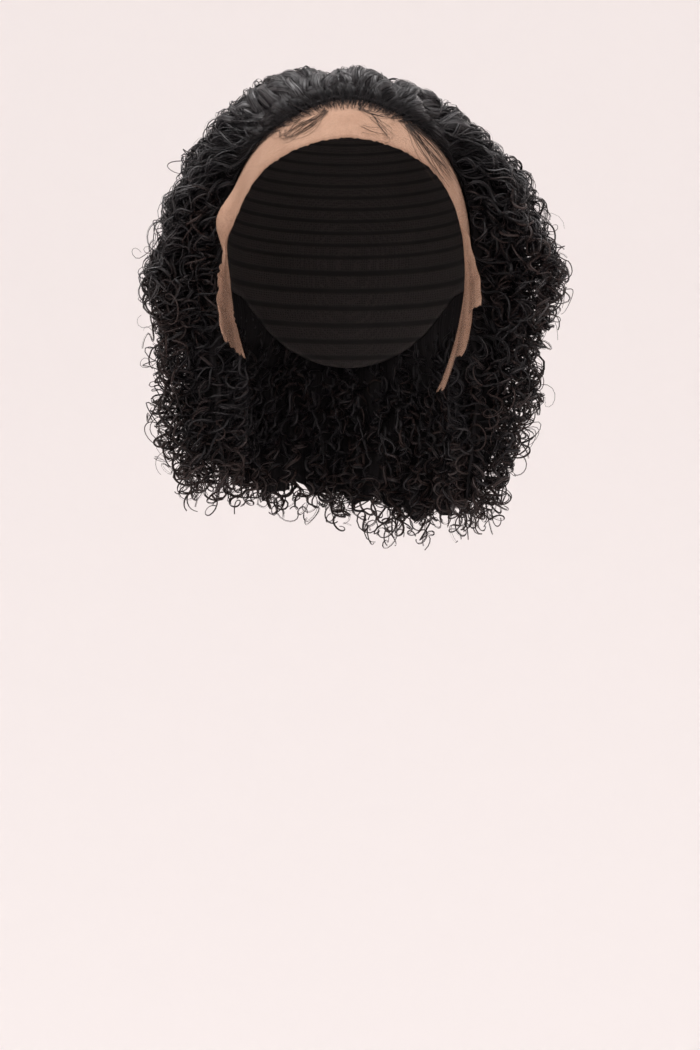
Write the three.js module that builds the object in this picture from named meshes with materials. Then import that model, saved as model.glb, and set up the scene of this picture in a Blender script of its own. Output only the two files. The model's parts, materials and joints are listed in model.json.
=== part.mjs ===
// A curly bob wig with a lace front, in the shape it takes when worn: a sheer lace panel from ear to ear,
// a plain wefted cap behind it, two loose ear tabs of spare lace, and the outer form of the hair in four parts.
// Millimetres, +Z up. The face looks along -Y and the wearer's left is on +X.
// The origin is the point where the crown of the head meets the cap.
import * as THREE from "three";

// The head that the wig is made for: an egg with its widest section below the crown.
const HEAD = { halfWidth: 76, halfDepth: 98, crownHeight: 93, lowerHeight: 140 };
const EQUATOR_Z = -HEAD.crownHeight;
// Below the head the hollow for the neck is no narrower than this share of the head's widest section.
const NECK_SHARE = 0.8;

// Cloth walls, and the gaps between neighbouring pieces.
const LACE_WALL = 1.0;
const CAP_WALL = 1.2;
const SEAM_GAP = 0.4;
const HAIR_GAP = 0.9;
const HAIR_INNER = CAP_WALL + HAIR_GAP;
const TAB_GAP_DEGREES = 0.7;

// Azimuth is counted from the face (0) over the left side (90) to the back (180), polar from the crown (0)
// to the widest section (90) and below it.
const SEAM_AZIMUTH = 90;

// Front edge of the lace.
const LACE_EDGE = [
  { azimuth: 0, polar: 55 },
  { azimuth: 15, polar: 56.5 },
  { azimuth: 30, polar: 60 },
  { azimuth: 45, polar: 66 },
  { azimuth: 54, polar: 73 },
  { azimuth: 63, polar: 84 },
  { azimuth: 69, polar: 92 },
  { azimuth: 75, polar: 100 },
  { azimuth: 90, polar: 101 },
];
// The row of knots where the hair begins.
const HAIRLINE = [
  { azimuth: 0, polar: 28 },
  { azimuth: 20, polar: 31 },
  { azimuth: 44, polar: 40 },
  { azimuth: 57, polar: 46 },
  { azimuth: 67, polar: 53 },
  { azimuth: 73, polar: 60 },
  { azimuth: 77, polar: 68 },
  { azimuth: 80, polar: 80 },
];
// Lower edge of the cap, from the ear to the nape.
const CAP_HEM = [
  { azimuth: 90, z: -119 },
  { azimuth: 115, z: -122 },
  { azimuth: 140, z: -150 },
  { azimuth: 180, z: -165 },
];

// How far the outer form of the hair stands off the head on the dome.
const DOME_LIFT = [
  { polar: 0, right: 18, left: 18, back: 18, front: 18 },
  { polar: 15, right: 22, left: 18, back: 20, front: 18 },
  { polar: 30, right: 27, left: 20, back: 24, front: 17 },
  { polar: 45, right: 30, left: 25, back: 29, front: 17 },
  { polar: 60, right: 34, left: 33, back: 34, front: 17 },
  { polar: 75, right: 41, left: 43, back: 39, front: 17 },
  { polar: 90, right: 48, left: 54, back: 44, front: 17 },
];
// How far it stands off the head's widest section on the way down to the ends.
const FALL_LIFT = [
  { z: -93, right: 48, left: 54, back: 44 },
  { z: -107, right: 53, left: 59, back: 46 },
  { z: -122, right: 54, left: 60, back: 47 },
  { z: -136, right: 50, left: 53, back: 47 },
  { z: -150, right: 47, left: 47, back: 46 },
  { z: -190, right: 45, left: 45, back: 41 },
  { z: -220, right: 46, left: 37, back: 35 },
  { z: -250, right: 34, left: 26, back: 27 },
  { z: -285, right: 24, left: 16, back: 18 },
];
// Where the hair ends, round the back from the left side to the right side.
const HAIR_HEM = [
  { azimuth: 82, z: -272 },
  { azimuth: 120, z: -280 },
  { azimuth: 150, z: -284 },
  { azimuth: 180, z: -278 },
  { azimuth: 210, z: -266 },
  { azimuth: 240, z: -258 },
  { azimuth: 278, z: -252 },
];
// The front edge of each side rounds off from the hairline to its full thickness.
const SIDE_TAPER = [
  { azimuth: 66, share: 0.15 },
  { azimuth: 72, share: 0.4 },
  { azimuth: 77, share: 0.6 },
  { azimuth: 82, share: 0.85 },
  { azimuth: 95, share: 1 },
];
// On the dome the hair rises from its roots at the hairline to its full height at this share of the way.
const ROLL_START = 0.5;
// Soft swells of the curls over the outer form.
const SWELL = { height: 2.4, roundTheHead: 11, downTheHair: 9, drift: 5 };

// Joints between the four parts of the hair.
const TOP_POLAR = 50;
const TOP_SPLIT_DEGREES = 0.6;
const BACK_AZIMUTH = 150;
const BACK_SPLIT_DEGREES = 0.6;
const SIDE_FRONT = { leavesHairline: 75, reachesHem: 85 };
const SIDE_AZIMUTHS = [
  66, 69, 72, 75, 76.25, 77.5, 78.75, 80, 81.25, 82.5, 83.75, 85, 90, 98, 106, 114, 122, 130, 140, BACK_AZIMUTH,
];

// The lace stands off the head in one place, at the right temple, where its edge has lifted.
const LIFTED_EDGE = { azimuth: 288, polar: 84, height: 9, azimuthSpread: 6, polarSpread: 10 };
// The hair beside it is pushed out further than the lace by this share.
const HAIR_EASE = 1.6;

// Spare lace below the lace's edge at each ear: where it hangs, how far its edges flare, and its hem.
const EAR_TABS = [
  {
    name: "ear_tab_right",
    side: -1,
    flare: 12,
    pleats: 1,
    pleatDepth: 1.5,
    hem: [
      { across: 0, z: -150 },
      { across: 0.5, z: -157 },
      { across: 1, z: -166 },
    ],
  },
  {
    name: "ear_tab_left",
    side: 1,
    flare: 9,
    pleats: 2.5,
    pleatDepth: 2.2,
    hem: [
      { across: 0, z: -134 },
      { across: 0.3, z: -138 },
      { across: 0.4, z: -180 },
      { across: 0.66, z: -181 },
      { across: 0.76, z: -189 },
      { across: 1, z: -186 },
    ],
  },
];
const TAB_AZIMUTH = { front: 64, back: 76.5 };

const FINISH = {
  lace: new THREE.MeshStandardMaterial({ color: 0xc79f83, roughness: 0.85, metalness: 0 }),
  cap: new THREE.MeshStandardMaterial({ color: 0x1a1718, roughness: 0.9, metalness: 0 }),
  hair: new THREE.MeshStandardMaterial({ color: 0x120f10, roughness: 0.45, metalness: 0 }),
};

const { degToRad, lerp, clamp, smoothstep } = THREE.MathUtils;
const sinDeg = (angle) => Math.sin(degToRad(angle));
const cosDeg = (angle) => Math.cos(degToRad(angle));

// The value of a column at a place between a table's rows, with the end rows held beyond them.
function between(table, key, column, at) {
  const rising = table[0][key] < table[1][key];
  const next = table.findIndex((row) => (rising ? row[key] >= at : row[key] <= at));
  if (next === 0) return table[0][column];
  if (next < 0) return table[table.length - 1][column];
  const [low, high] = [table[next - 1], table[next]];
  return lerp(low[column], high[column], (at - low[key]) / (high[key] - low[key]));
}

// Azimuth as a distance from the face, the same on both sides.
const fromFace = (azimuth) => Math.min(azimuth % 360, 360 - (azimuth % 360));

// A table's value for an azimuth, blended from its columns for the sides, the back and the face.
function roundTheHead(table, key, at, azimuth) {
  const side = between(table, key, sinDeg(azimuth) < 0 ? "right" : "left", at);
  const end = between(table, key, cosDeg(azimuth) > 0 && "front" in table[0] ? "front" : "back", at);
  return lerp(end, side, sinDeg(azimuth) ** 2);
}

// A point on the head, moved out along its normal.
function headPoint(azimuth, polar, offset) {
  const { halfWidth, halfDepth, crownHeight, lowerHeight } = HEAD;
  const height = polar <= 90 ? crownHeight : lowerHeight;
  const unit = new THREE.Vector3(
    sinDeg(polar) * sinDeg(azimuth),
    -sinDeg(polar) * cosDeg(azimuth),
    cosDeg(polar),
  );
  const axes = new THREE.Vector3(halfWidth, halfDepth, height);
  const normal = unit.clone().divide(axes).normalize();
  return unit.multiply(axes).setZ(unit.z + EQUATOR_Z).addScaledVector(normal, offset);
}

const polarAt = (z) => {
  const height = z > EQUATOR_Z ? HEAD.crownHeight : HEAD.lowerHeight;
  return THREE.MathUtils.radToDeg(Math.acos(clamp((z - EQUATOR_Z) / height, -1, 1)));
};

// How far the lace's lifted edge stands off the head.
function liftedEdge(azimuth, polar) {
  const round = (azimuth - LIFTED_EDGE.azimuth) / LIFTED_EDGE.azimuthSpread;
  const down = (polar - LIFTED_EDGE.polar) / LIFTED_EDGE.polarSpread;
  return LIFTED_EDGE.height * Math.exp(-round * round - down * down);
}

// The hair's two surfaces are found by azimuth and by way: 0 at the crown, 1 at the head's widest
// section, 2 at the ends.
const heightAt = (azimuth, way) =>
  lerp(EQUATOR_Z, between(HAIR_HEM, "azimuth", "z", azimuth), way - 1);

function hairInner(azimuth, way) {
  if (way <= 1) return headPoint(azimuth, 90 * way, HAIR_INNER + HAIR_EASE * liftedEdge(azimuth, 90 * way));
  const z = heightAt(azimuth, way);
  const share = Math.max(sinDeg(polarAt(z)), NECK_SHARE);
  const edge = headPoint(azimuth, 90, 0).multiplyScalar(share).setZ(z);
  const out = edge.clone().setZ(0).normalize();
  return edge.addScaledVector(out, HAIR_INNER + HAIR_EASE * liftedEdge(azimuth, polarAt(z)));
}

function hairOuter(azimuth, way) {
  const swell =
    SWELL.height *
    Math.sin(degToRad(SWELL.roundTheHead * azimuth) + SWELL.drift * way) *
    Math.sin(SWELL.downTheHair * way + 1);
  const face = fromFace(azimuth);
  if (way > 1) {
    const z = heightAt(azimuth, way);
    const lift = roundTheHead(FALL_LIFT, "z", z, azimuth) * between(SIDE_TAPER, "azimuth", "share", face);
    return headPoint(azimuth, 90, lift + swell).setZ(z);
  }
  const polar = 90 * way;
  const lift = roundTheHead(DOME_LIFT, "polar", polar, azimuth) + Math.min(way, 0.3) * swell;
  const rim = Math.min(between(HAIRLINE, "azimuth", "polar", face), TOP_POLAR);
  const atRim = between(SIDE_TAPER, "azimuth", "share", face);
  const share = lerp(1, atRim, smoothstep(polar, ROLL_START * rim, rim));
  return headPoint(azimuth, polar, Math.max(lift * share, HAIR_INNER + 1.5));
}

// A closed wall between an inner and an outer surface. Each is a function of a column, counted round
// the head, and of a row's share, from 0 at the top to 1 at the bottom. A pole closes the top in one point.
function wall({ columns, rows, wrap = false, pole = false, inner, outer }) {
  const across = wrap ? columns : columns + 1;
  const size = across * (rows + 1);
  const positions = [];
  for (const surface of [outer, inner]) {
    for (let i = 0; i < across; i++) {
      for (let j = 0; j <= rows; j++) positions.push(...surface(i, j / rows).toArray());
    }
  }
  const onOuter = (i, j) => (pole && j === 0 ? 0 : (i % across) * (rows + 1) + j);
  const onInner = (i, j) => size + onOuter(i, j);
  const index = [];
  const quad = (...corners) => {
    const [a, b, c, d] = corners;
    for (const face of [[a, b, c], [a, c, d]]) if (new Set(face).size === 3) index.push(...face);
  };
  for (let i = 0; i < columns; i++) {
    for (let j = 0; j < rows; j++) {
      quad(onOuter(i, j), onOuter(i, j + 1), onOuter(i + 1, j + 1), onOuter(i + 1, j));
      quad(onInner(i + 1, j), onInner(i + 1, j + 1), onInner(i, j + 1), onInner(i, j));
    }
    quad(onOuter(i, rows), onInner(i, rows), onInner(i + 1, rows), onOuter(i + 1, rows));
    if (!pole) quad(onOuter(i + 1, 0), onInner(i + 1, 0), onInner(i, 0), onOuter(i, 0));
  }
  if (!wrap) {
    for (let j = 0; j < rows; j++) {
      quad(onOuter(0, j), onInner(0, j), onInner(0, j + 1), onOuter(0, j + 1));
      quad(onOuter(columns, j + 1), onInner(columns, j + 1), onInner(columns, j), onOuter(columns, j));
    }
  }
  const geometry = new THREE.BufferGeometry();
  geometry.setAttribute("position", new THREE.Float32BufferAttribute(positions, 3));
  geometry.setIndex(index);
  geometry.computeVertexNormals();
  return geometry;
}

function piece(name, geometry, material) {
  const mesh = new THREE.Mesh(geometry, material);
  mesh.name = name;
  return mesh;
}

// The lace panel: the front half of the dome, from the ear-to-ear seam to its free front edge.
function laceFront() {
  const columns = 60;
  const rows = 8;
  const surface = (offset) => (column, share) => {
    const azimuth = lerp(-SEAM_AZIMUTH, SEAM_AZIMUTH, column / columns) + 360;
    const polar = share * between(LACE_EDGE, "azimuth", "polar", fromFace(azimuth));
    return headPoint(azimuth, polar, offset + liftedEdge(azimuth, polar));
  };
  const geometry = wall({ columns, rows, pole: true, inner: surface(0), outer: surface(LACE_WALL) });
  const mesh = piece("lace_front", geometry, FINISH.lace);
  mesh.position.y = -SEAM_GAP / 2;
  return mesh;
}

// The wefted cap: the back half of the dome, down to the nape.
function capCrown() {
  const columns = 20;
  const rows = 12;
  const surface = (offset) => (column, share) => {
    const azimuth = lerp(SEAM_AZIMUTH, 360 - SEAM_AZIMUTH, column / columns);
    const hem = between(CAP_HEM, "azimuth", "z", fromFace(azimuth));
    return headPoint(azimuth, share * polarAt(hem), offset);
  };
  const geometry = wall({ columns, rows, pole: true, inner: surface(0), outer: surface(CAP_WALL) });
  const mesh = piece("cap_crown", geometry, FINISH.cap);
  mesh.position.y = SEAM_GAP / 2;
  return mesh;
}

// A tab of spare lace that hangs from the lace's edge in front of the ear, flared and pleated.
function earTab({ name, side, flare, pleats, pleatDepth, hem }) {
  const columns = 12;
  const rows = 6;
  const surface = (offset) => (column, share) => {
    const across = column / columns;
    const face = lerp(TAB_AZIMUTH.front, TAB_AZIMUTH.back, across);
    const azimuth = side > 0 ? face : 360 - face;
    const edge = between(LACE_EDGE, "azimuth", "polar", face) + TAB_GAP_DEGREES;
    const polar = lerp(edge, polarAt(between(hem, "across", "z", across)), share);
    const hang = Math.sqrt(share);
    const fold = pleatDepth * hang * (1 + Math.cos(2 * Math.PI * pleats * across));
    const stand = flare * hang * (1 - across) + (1 - across) * fold + liftedEdge(azimuth, edge);
    return headPoint(azimuth, polar, offset + stand);
  };
  const [inner, outer] = [surface(0), surface(LACE_WALL)];
  const turned = (way) => (column, share) => way(columns - column, share);
  const sides = side > 0 ? { inner, outer } : { inner: turned(inner), outer: turned(outer) };
  return piece(name, wall({ columns, rows, ...sides }), FINISH.lace);
}

// The hair that is combed back from the hairline over the crown.
function hairTop() {
  const columns = 36;
  const rows = 7;
  const surface = (point) => (column, share) => {
    const azimuth = (360 * column) / columns;
    const hairline = between(HAIRLINE, "azimuth", "polar", fromFace(azimuth));
    return point(azimuth, (share * Math.min(hairline, TOP_POLAR)) / 90);
  };
  const geometry = wall({
    columns,
    rows,
    wrap: true,
    pole: true,
    inner: surface(hairInner),
    outer: surface(hairOuter),
  });
  return piece("hair_top", geometry, FINISH.hair);
}

// A part of the hair that hangs from the top to the ends, over the given azimuths.
function hairFall(name, azimuths) {
  const rows = 17;
  const top = (TOP_POLAR + TOP_SPLIT_DEGREES) / 90;
  const surface = (point) => (column, share) => {
    const azimuth = azimuths[column];
    const face = fromFace(azimuth);
    const hairline = between(HAIRLINE, "azimuth", "polar", Math.min(face, SIDE_FRONT.leavesHairline)) / 90;
    const fall = clamp(
      (face - SIDE_FRONT.leavesHairline) / (SIDE_FRONT.reachesHem - SIDE_FRONT.leavesHairline), 0, 1);
    return point(azimuth, lerp(top, lerp(hairline, 2, fall), share));
  };
  const geometry = wall({
    columns: azimuths.length - 1,
    rows,
    inner: surface(hairInner),
    outer: surface(hairOuter),
  });
  return piece(name, geometry, FINISH.hair);
}

const backColumns = 8;
const backStart = BACK_AZIMUTH + BACK_SPLIT_DEGREES;
const backAzimuths = Array.from({ length: backColumns + 1 }, (_, i) =>
  lerp(backStart, 360 - backStart, i / backColumns),
);

const wig = new THREE.Group();
wig.add(
  laceFront(),
  capCrown(),
  ...EAR_TABS.map(earTab),
  hairTop(),
  hairFall("hair_side_left", SIDE_AZIMUTHS),
  hairFall("hair_back", backAzimuths),
  hairFall("hair_side_right", SIDE_AZIMUTHS.map((face) => 360 - face).reverse()),
);

export default wig;
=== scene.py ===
"""The look of a curly bob wig with a lace front: its lace, its cap and its hair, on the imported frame."""

import json
import logging
import math
from dataclasses import dataclass
from enum import Enum

import bpy
import numpy as np
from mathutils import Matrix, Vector

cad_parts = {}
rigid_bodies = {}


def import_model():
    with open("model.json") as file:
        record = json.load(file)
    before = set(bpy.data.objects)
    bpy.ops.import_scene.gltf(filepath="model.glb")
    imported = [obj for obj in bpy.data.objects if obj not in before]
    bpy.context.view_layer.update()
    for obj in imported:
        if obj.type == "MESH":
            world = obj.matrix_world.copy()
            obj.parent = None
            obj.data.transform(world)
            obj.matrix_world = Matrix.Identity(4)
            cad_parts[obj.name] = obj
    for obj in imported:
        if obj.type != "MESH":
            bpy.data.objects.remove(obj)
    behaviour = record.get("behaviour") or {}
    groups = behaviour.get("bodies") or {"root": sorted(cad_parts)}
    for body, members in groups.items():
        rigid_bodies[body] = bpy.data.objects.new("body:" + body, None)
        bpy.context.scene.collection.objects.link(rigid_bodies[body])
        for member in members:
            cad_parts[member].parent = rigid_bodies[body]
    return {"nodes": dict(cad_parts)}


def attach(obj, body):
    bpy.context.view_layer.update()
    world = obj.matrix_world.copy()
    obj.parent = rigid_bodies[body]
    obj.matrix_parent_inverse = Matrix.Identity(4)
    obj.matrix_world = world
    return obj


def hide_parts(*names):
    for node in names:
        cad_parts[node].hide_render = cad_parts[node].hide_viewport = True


Array = np.ndarray
Span = tuple[float, float]
Triple = tuple[float, float, float]
Piece = bpy.types.Object
Material = bpy.types.Material
Socket = bpy.types.NodeSocket

LOG = logging.getLogger("wig")
SEED = 71
MM = 0.001
TURN = 2 * math.pi
MAP_EDGES = (0.01, 0.99)
# Steps that fill a square evenly, however many are taken
EVEN_STEPS = (0.7548776662, 0.5698402910)
# Degrees from the crown and heights in millimetres at which the outline is given
DOME = (0, 15, 30, 45, 60, 75, 90)
FALL = (-285, -250, -220, -190, -150, -136, -122, -107, -93)


class Side(Enum):
    """The wearer's side, with its sign along +X."""

    LEFT = 1
    RIGHT = -1


class Section(Enum):
    """How a strand is made: as a closed tube or as a flat ribbon."""

    TUBE = "tube"
    RIBBON = "ribbon"


class Slot(Enum):
    """The record's material slots."""

    LACE = "lace"
    CAP = "cap"
    HAIR = "hair"


class Held(Enum):
    """How a sheet of net is held."""

    STRETCHED = "stretched"
    HUNG = "hung"


def mm(*sizes: float) -> tuple[float, ...]:
    """Turn sizes in millimetres into metres."""
    return tuple(size * MM for size in sizes)


def smooth_step(value: Array, low: float, high: float) -> Array:
    """Ease numbers from 0 at low to 1 at high."""
    share = np.clip((np.asarray(value, float) - low) / (high - low), 0.0, 1.0)
    return share * share * (3.0 - 2.0 * share)


def unit(vectors: Array) -> Array:
    """Scale vectors to length one, along their last axis."""
    return vectors / np.maximum(np.linalg.norm(vectors, axis=-1, keepdims=True), 1e-12)


def flattened(vectors: Array, normal: Array) -> Array:
    """Lay vectors flat against a normal, at length one."""
    return unit(vectors - np.sum(vectors * normal, axis=-1, keepdims=True) * normal)


def tangents(lines: Array) -> Array:
    """Find the directions along lines, by line and segment."""
    return unit(np.gradient(lines, axis=1))


def from_face(azimuth: Array) -> Array:
    """Turn an azimuth into its distance from the face, the same on both sides."""
    turn = np.mod(azimuth, 360.0)
    return np.minimum(turn, 360.0 - turn)


@dataclass(frozen=True)
class Table:
    """A value against a rising key, read along straight lines between its rows."""

    keys: tuple[float, ...]
    values: tuple[float, ...]

    def at(self, key: Array) -> Array:
        """Read the table, holding its end rows beyond them."""
        return np.interp(key, self.keys, self.values)


@dataclass(frozen=True)
class Waves:
    """A sum of sine waves, with a height, a rate and a start for each."""

    rows: tuple[Triple, ...]

    def at(self, value: Array) -> Array:
        """Add the waves up at a value."""
        return sum(height * np.sin(value * rate + start) for height, rate, start in self.rows)


@dataclass(frozen=True)
class HeadForm:
    """The egg that the cap is cut to, with the crown at the origin, in metres."""

    half_width: float = 76 * MM
    half_depth: float = 98 * MM
    crown: float = 93 * MM
    lower: float = 140 * MM
    narrow_share: float = 0.8

    def point(self, azimuth: Array, polar: Array, offset: Array) -> Array:
        """Find points on the form, moved out along its normal.

        Args:
            azimuth: Degrees from the face, over the left side at 90 to the back at 180.
            polar: Degrees from the crown, 90 at the widest section.
            offset: Distance out along the normal.

        Returns:
            Points, with x, y and z on the last axis.
        """
        azimuth, polar, offset = np.broadcast_arrays(azimuth, polar, offset)
        turn = np.radians(azimuth)
        tilt = np.radians(polar)
        direction = np.stack(
            [np.sin(tilt) * np.sin(turn), -np.sin(tilt) * np.cos(turn), np.cos(tilt)], axis=-1)
        height = np.where(polar <= 90, self.crown, self.lower)
        axes = np.stack([0 * height + self.half_width, 0 * height + self.half_depth, height], axis=-1)
        place = direction * axes + unit(direction / axes) * offset[..., None]
        place[..., 2] -= self.crown
        return place

    def wall(self, azimuth: Array, offset: Array, z: Array) -> Array:
        """Find points as far out as at the widest section, at another height."""
        place = self.point(azimuth, 90.0, offset)
        return np.concatenate([place[..., :2], z[..., None]], axis=-1)

    def polar_at(self, z: Array) -> Array:
        """Find the polar angle of a height on the form."""
        height = np.where(z > -self.crown, self.crown, self.lower)
        return np.degrees(np.arccos(np.clip((z + self.crown) / height, -1, 1)))

    def seat(self, points: Array) -> Array:
        """Put points back on the dome, or on the upright wall below its widest section.

        Args:
            points: Points near the form.

        Returns:
            Points on it.
        """
        place = points.copy()
        rise = place[..., 2] + self.crown
        across = (place[..., 0] / self.half_width) ** 2 + (place[..., 1] / self.half_depth) ** 2
        reach = np.sqrt(across + np.where(rise > 0, rise / self.crown, 0.0) ** 2)
        reach = np.maximum(reach, 1e-9)
        place[..., :2] /= reach[..., None]
        place[..., 2] = np.where(rise > 0, rise / reach, rise) - self.crown
        return place

    def normal(self, points: Array) -> Array:
        """Find the outward normal of the dome or of the wall below it.

        Args:
            points: Points on the form.

        Returns:
            Directions of length one.
        """
        x, y, z = np.moveaxis(points, -1, 0)
        rise = np.maximum(z + self.crown, 0.0)
        return unit(np.stack([x / self.half_width**2, y / self.half_depth**2, rise / self.crown**2], axis=-1))

    def azimuth_of(self, points: Array) -> Array:
        """Find the azimuth of points on the form, from 0 to 360."""
        turn = np.arctan2(points[..., 0] / self.half_width, -points[..., 1] / self.half_depth)
        return np.mod(np.degrees(turn), 360.0)


@dataclass(frozen=True)
class Lumps:
    """Soft swells, as a sum of plane waves with settled directions and phases."""

    length: float = 24 * MM
    waves: int = 7
    seed: int = 5
    lengths: Span = (0.8, 1.35)

    def at(self, points: Array) -> Array:
        """Read the swell at points.

        Args:
            points: Points, with x, y and z on the last axis.

        Returns:
            Numbers of about -1 to 1.
        """
        rng = np.random.default_rng(self.seed)
        ways = unit(rng.normal(size=(self.waves, 3)))
        rates = TURN / (self.length * rng.uniform(*self.lengths, self.waves))
        phases = rng.uniform(0, TURN, self.waves)
        total = np.zeros(points.shape[:-1])
        for way, rate, phase in zip(ways, rates, phases):
            total += np.sin(points @ way * rate + phase)
        return total / math.sqrt(self.waves)


@dataclass(frozen=True)
class HairForm:
    """The room that the hair fills: from the cap out to the outline, and from the crown to the ends.

    A way is 0 at the crown, 1 at the widest section of the head form and 2 at the ends. The tables of the
    dome and the fall give the outline in millimetres from the form, against degrees or heights.
    """

    head: HeadForm = HeadForm()
    lumps: Lumps = Lumps()
    lump_height: float = 2.6 * MM
    dome_lump: float = 3.6 * MM
    lump_room: float = 12 * MM
    inner_gap: float = 2.1 * MM
    least_room: float = 1.2 * MM
    top_polar: float = 50.0
    roll_start: float = 0.5
    hairline: Table = Table((0, 20, 44, 57, 67, 73, 77, 80), (28, 31, 40, 46, 53, 60, 68, 80))
    dome_right: Table = Table(DOME, (16, 20.5, 26.5, 30, 34, 41, 49))
    dome_left: Table = Table(DOME, (16, 17, 20, 25, 34, 45, 57))
    dome_back: Table = Table(DOME, (16, 19, 24, 29, 34, 39, 44))
    dome_front: Table = Table((0, 15, 30, 90), (16, 15.5, 16, 17))
    fall_right: Table = Table(FALL, (24, 34, 47, 49, 51, 54, 57, 55, 49))
    fall_left: Table = Table(FALL, (16, 26, 38, 47, 51, 57, 64, 63, 57))
    fall_back: Table = Table((-285, -250, -220, -190, -150, -122, -93), (18, 27, 35, 41, 46, 47, 44))
    hem: Table = Table((82, 120, 150, 180, 210, 240, 278), (-272, -280, -284, -278, -266, -258, -252))
    taper: Table = Table((66, 72, 77, 82, 95), (0.15, 0.4, 0.6, 0.85, 1.0))
    front: Table = Table((0.311, 0.344, 0.444, 0.511, 0.589, 0.667, 0.756, 0.889, 1.0, 1.5, 2.0),
                         (0, 20, 44, 57, 67, 73, 77, 80, 81, 83, 85))

    def way_of(self, points: Array) -> tuple[Array, Array]:
        """Find the azimuth and the way of points.

        Args:
            points: Points on the dome or the wall below it.

        Returns:
            Azimuths in degrees, and ways.
        """
        azimuth = self.head.azimuth_of(points)
        rise = points[..., 2] + self.head.crown
        on_dome = np.degrees(np.arccos(np.clip(rise / self.head.crown, -1, 1))) / 90
        below = 1 + rise / (self.hem.at(azimuth) * MM + self.head.crown)
        return azimuth, np.where(rise > 0, on_dome, below)

    def height(self, azimuth: Array, way: Array) -> Array:
        """Find the height of a place below the widest section."""
        return -self.head.crown + (self.hem.at(azimuth) * MM + self.head.crown) * (way - 1)

    def inner(self, azimuth: Array, way: Array) -> Array:
        """Find points where the hair leaves the cap, or hangs free below it.

        Args:
            azimuth: Degrees from the face.
            way: Ways of the same shape.

        Returns:
            Points on the inside of the hair.
        """
        dome = self.head.point(azimuth, np.minimum(way, 1) * 90, self.inner_gap)
        z = self.height(azimuth, way)
        drop = np.clip((z + self.head.crown) / self.head.lower, -1, 0)
        share = np.maximum(np.sqrt(1 - drop**2), self.head.narrow_share)
        wall = self.head.wall(azimuth, 0.0, z)
        wall[..., :2] *= share[..., None]
        wall[..., :2] += unit(wall[..., :2]) * self.inner_gap
        return np.where((way <= 1)[..., None], dome, wall)

    def outer(self, azimuth: Array, way: Array) -> Array:
        """Find points on the outline of the hair.

        Args:
            azimuth: Degrees from the face.
            way: Ways of the same shape.

        Returns:
            Points on the outline.
        """
        face = from_face(azimuth)
        side = np.sin(np.radians(azimuth)) ** 2
        left = np.sin(np.radians(azimuth)) >= 0
        front = np.cos(np.radians(azimuth)) > 0
        polar = np.minimum(way, 1) * 90
        dome_side = np.where(left, self.dome_left.at(polar), self.dome_right.at(polar))
        dome_end = np.where(front, self.dome_front.at(polar), self.dome_back.at(polar))
        dome_lift = (dome_side * side + dome_end * (1 - side)) * MM
        rim = np.minimum(self.hairline.at(face), self.top_polar)
        ease = smooth_step(polar / rim, self.roll_start, 1.0)
        at_rim = self.taper.at(face)
        dome_lift = dome_lift * (1 - ease * (1 - at_rim))
        swell = self.lumps.at(self.head.point(azimuth, polar, 0.0)) * self.dome_lump
        swell = swell * np.clip(dome_lift / self.lump_room, 0, 1)
        floor = self.inner_gap + self.least_room
        dome = self.head.point(azimuth, polar, np.maximum(dome_lift + swell, floor))
        z = self.height(azimuth, way)
        fall_side = np.where(left, self.fall_left.at(z / MM), self.fall_right.at(z / MM))
        fall_lift = (fall_side * side + self.fall_back.at(z / MM) * (1 - side)) * MM * at_rim
        swell = self.lumps.at(self.head.wall(azimuth, 0.0, z)) * self.lump_height
        wall = self.head.wall(azimuth, fall_lift + swell, z)
        return np.where((way <= 1)[..., None], dome, wall)


@dataclass(frozen=True)
class Lock:
    """The make of one kind of lock: how many, how long, how deep it lies and how tightly it curls.

    Depth is where the lock's outer face lies, as a share of the room between the cap and the outline. What
    a kind doesn't state is as in the curls at the sides and the back.
    """

    count: int = 136
    hairs: int = 4
    segments: int = 98
    length: Span = mm(65, 100)
    depth: Span = (0.72, 1.06)
    coil: Span = mm(3.6, 5.4)
    pitch: Span = mm(8.5, 12)
    bundle: Span = mm(0.6, 1.3)
    width: Span = mm(0.55, 1.05)
    rise: float = 12 * MM
    loose: float = 1.2
    curl_from: float = 0.1
    sweep: float = 1.0
    wander: float = 7 * MM
    flick: float = 4 * MM
    ends: Span = (1.9, 2.03)
    section: Section = Section.RIBBON
    body_sides: int = 0
    tip_curl: float = 0.1
    bow: float = 0.45
    tilt: Span = (24.0, 74.0)
    thin_from: float = 0.65
    thin_by: float = 0.55
    crowding: float = 0.25

    def shares(self) -> Array:
        """Space the lock's points along it, closer together towards the tip."""
        even = np.linspace(0, 1, self.segments + 1)[None, :]
        return even * (1 + self.crowding - self.crowding * even)


@dataclass(frozen=True)
class RootBand:
    """Where a kind of lock is rooted: a stretch of the cap, whole or only next to the hairline."""

    azimuths: Span
    polars: Span
    behind: Span = (0.0, 180.0)
    tries: int = 60
    line_end: float = 80.0

    def scatter(self, form: HairForm, rng: np.random.Generator, count: int) -> Array:
        """Scatter roots evenly over the band.

        Args:
            form: The room that the hair fills.
            rng: The settled run of chances.
            count: How many.

        Returns:
            Points on the head form.
        """
        number = np.arange(self.tries * count)
        first = np.mod(number * EVEN_STEPS[0] + rng.uniform(), 1)
        second = np.mod(number * EVEN_STEPS[1], 1)
        high, low = np.cos(np.radians(self.polars))
        azimuth = np.mod(self.azimuths[0] + (self.azimuths[1] - self.azimuths[0]) * first, 360)
        polar = np.degrees(np.arccos(low + (high - low) * second))
        face = from_face(azimuth)
        margin = np.where(face > self.line_end, self.behind[0], form.hairline.at(face) - polar)
        kept = np.flatnonzero((margin >= self.behind[0]) & (margin <= self.behind[1]))[:count]
        return form.head.point(azimuth[kept], polar[kept], 0.0)


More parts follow.
